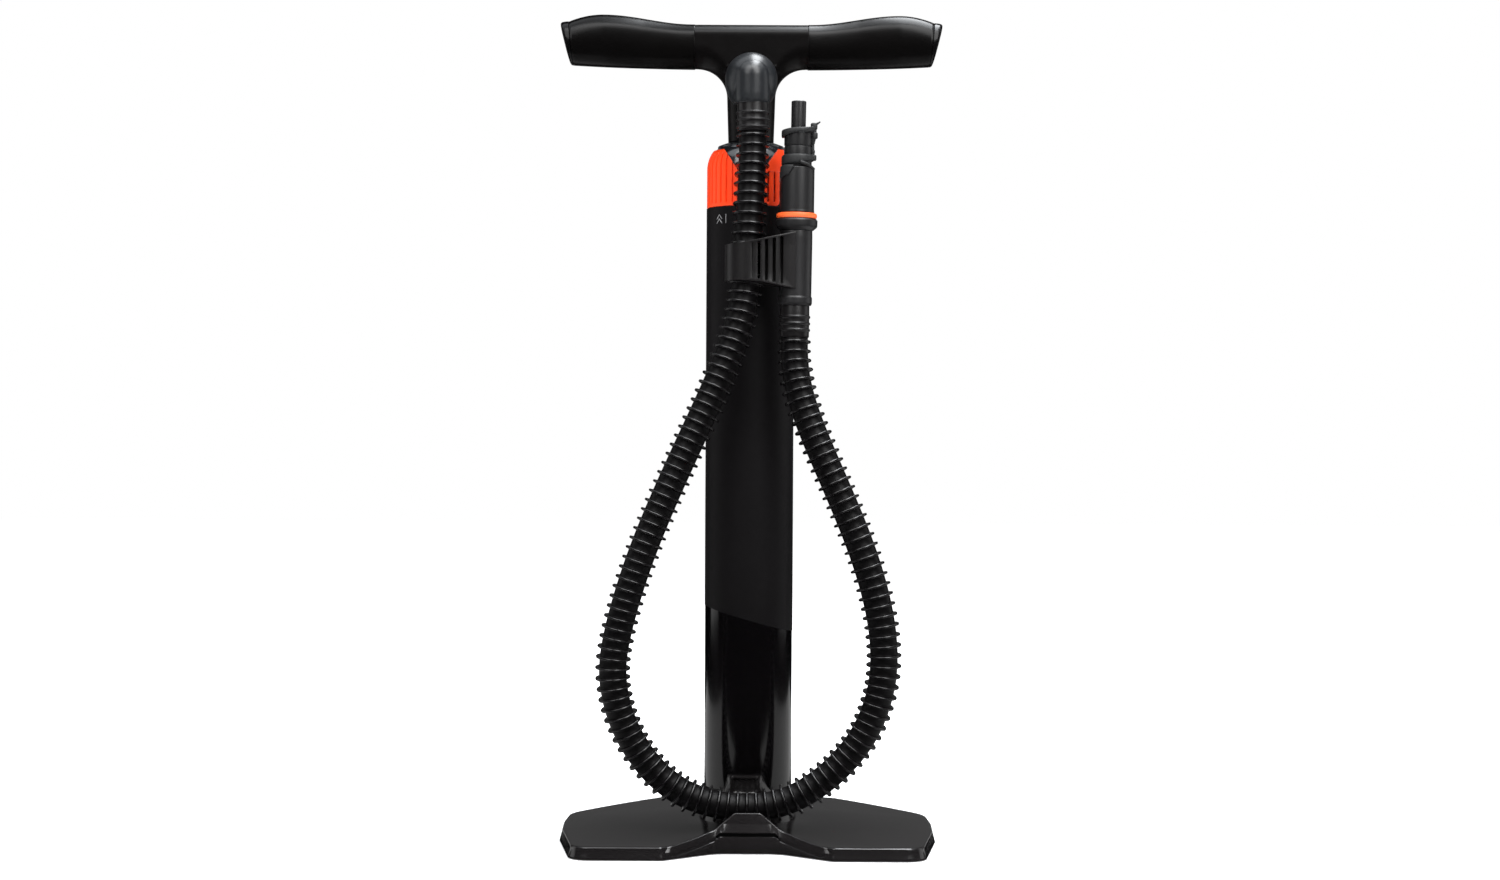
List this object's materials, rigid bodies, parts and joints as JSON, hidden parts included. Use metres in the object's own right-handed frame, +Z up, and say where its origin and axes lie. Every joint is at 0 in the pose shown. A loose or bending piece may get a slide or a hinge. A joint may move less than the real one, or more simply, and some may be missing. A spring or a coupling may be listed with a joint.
{
  "type": "hand air pump",
  "caption": "Upright stirrup air pump with T-handle, foot-held base, swivel hose elbow, looped corrugated hose and a thin-nosed connector clipped to the hose.",
  "frame": {"origin": "centre of the footprint at floor level, on the barrel's axis", "axes": "+Z up along the barrel, -Y the front where the hose hangs, +X to the right seen from the front"},
  "size_m": [0.2732, 0.195, 0.5916],
  "materials": {
    "gloss_black": "gloss black moulded plastic",
    "satin_black": "satin black moulded plastic",
    "wrap_black": "matte black printed sleeve",
    "grip_black": "smooth soft-touch black",
    "charcoal": "satin charcoal moulded plastic",
    "orange": "satin orange moulded plastic",
    "orange_rubber": "orange soft rubber",
    "hose_black": "glossy black corrugated hose",
    "seal_rubber": "black sealing rubber",
    "pad_rubber": "matte black rubber",
    "leash_rubber": "matte black soft rubber",
    "steel": "zinc plated steel",
    "aluminium": "drawn aluminium tube",
    "acetal": "natural acetal"
  },
  "bodies": {
    "pump_body": {"base_plate": "gloss_black", "foot_pads": "pad_rubber", "base_screws": "steel", "barrel": "gloss_black", "barrel_wrap": "wrap_black", "barrel_plug": "satin_black", "plug_seal": "seal_rubber", "top_cap": "gloss_black", "cap_collar": "orange", "cap_seal": "seal_rubber", "rod_bush": "acetal", "rod_seal": "seal_rubber"},
    "intake_valve": {"intake_valve": "orange_rubber"},
    "cap_valve": {"cap_valve": "orange_rubber"},
    "handle": {"piston_rod": "aluminium", "piston_body": "satin_black", "piston_seal": "seal_rubber", "piston_ring": "acetal", "piston_nut": "acetal", "rod_band": "seal_rubber", "handle_hub": "satin_black", "cross_tube": "steel", "left_grip": "grip_black", "right_grip": "grip_black", "left_end_cap": "gloss_black", "right_end_cap": "gloss_black", "hub_screws": "steel", "outlet_spigot": "acetal", "union_collar": "satin_black", "elbow_seal": "seal_rubber", "elbow_clip": "steel"},
    "delivery_valve": {"delivery_valve": "orange_rubber"},
    "hose_set": {"swivel_elbow": "charcoal", "hose_cuff_top": "satin_black", "hose": "hose_black", "hose_cuff_end": "satin_black", "connector_body": "charcoal", "coupling_seal": "seal_rubber", "hose_clip": "satin_black"},
    "coupling": {"lock_ring": "charcoal", "gasket_ring": "orange_rubber", "coupling_sleeve": "charcoal"},
    "adapter": {"nozzle_adapter": "charcoal", "adapter_strap": "leash_rubber"}
  },
  "joints": [
    {"name": "pump_stroke", "type": "slide", "parent": "pump_body", "child": "handle", "axis": [0, 0, 1], "range_m": [0, 0.375]},
    {"name": "elbow_swivel", "type": "hinge", "parent": "handle", "child": "hose_set", "pos_m": [0, -0.042, 0.542], "axis": [0, -1, 0], "range_deg": [-90, 90]},
    {"name": "coupling_turn", "type": "hinge", "parent": "hose_set", "child": "coupling", "pos_m": [0.03219, -0.0475, 0.44099], "axis": [0.0148, 0, 0.9999], "range_deg": [0, 45]},
    {"name": "adapter_pull", "type": "slide", "parent": "coupling", "child": "adapter", "axis": [0.0148, 0, 0.9999], "range_m": [0, 0.03]},
    {"name": "intake_lift", "type": "slide", "parent": "pump_body", "child": "intake_valve", "axis": [0, 0, 1], "range_m": [0, 0.0015]},
    {"name": "cap_valve_open", "type": "slide", "parent": "pump_body", "child": "cap_valve", "axis": [0, 0, -1], "range_m": [0, 0.0015], "stiffness_N_per_m": 30, "springref_m": -0.003},
    {"name": "delivery_lift", "type": "slide", "parent": "handle", "child": "delivery_valve", "axis": [0, 0, 1], "range_m": [0, 0.0015]}
  ]
}
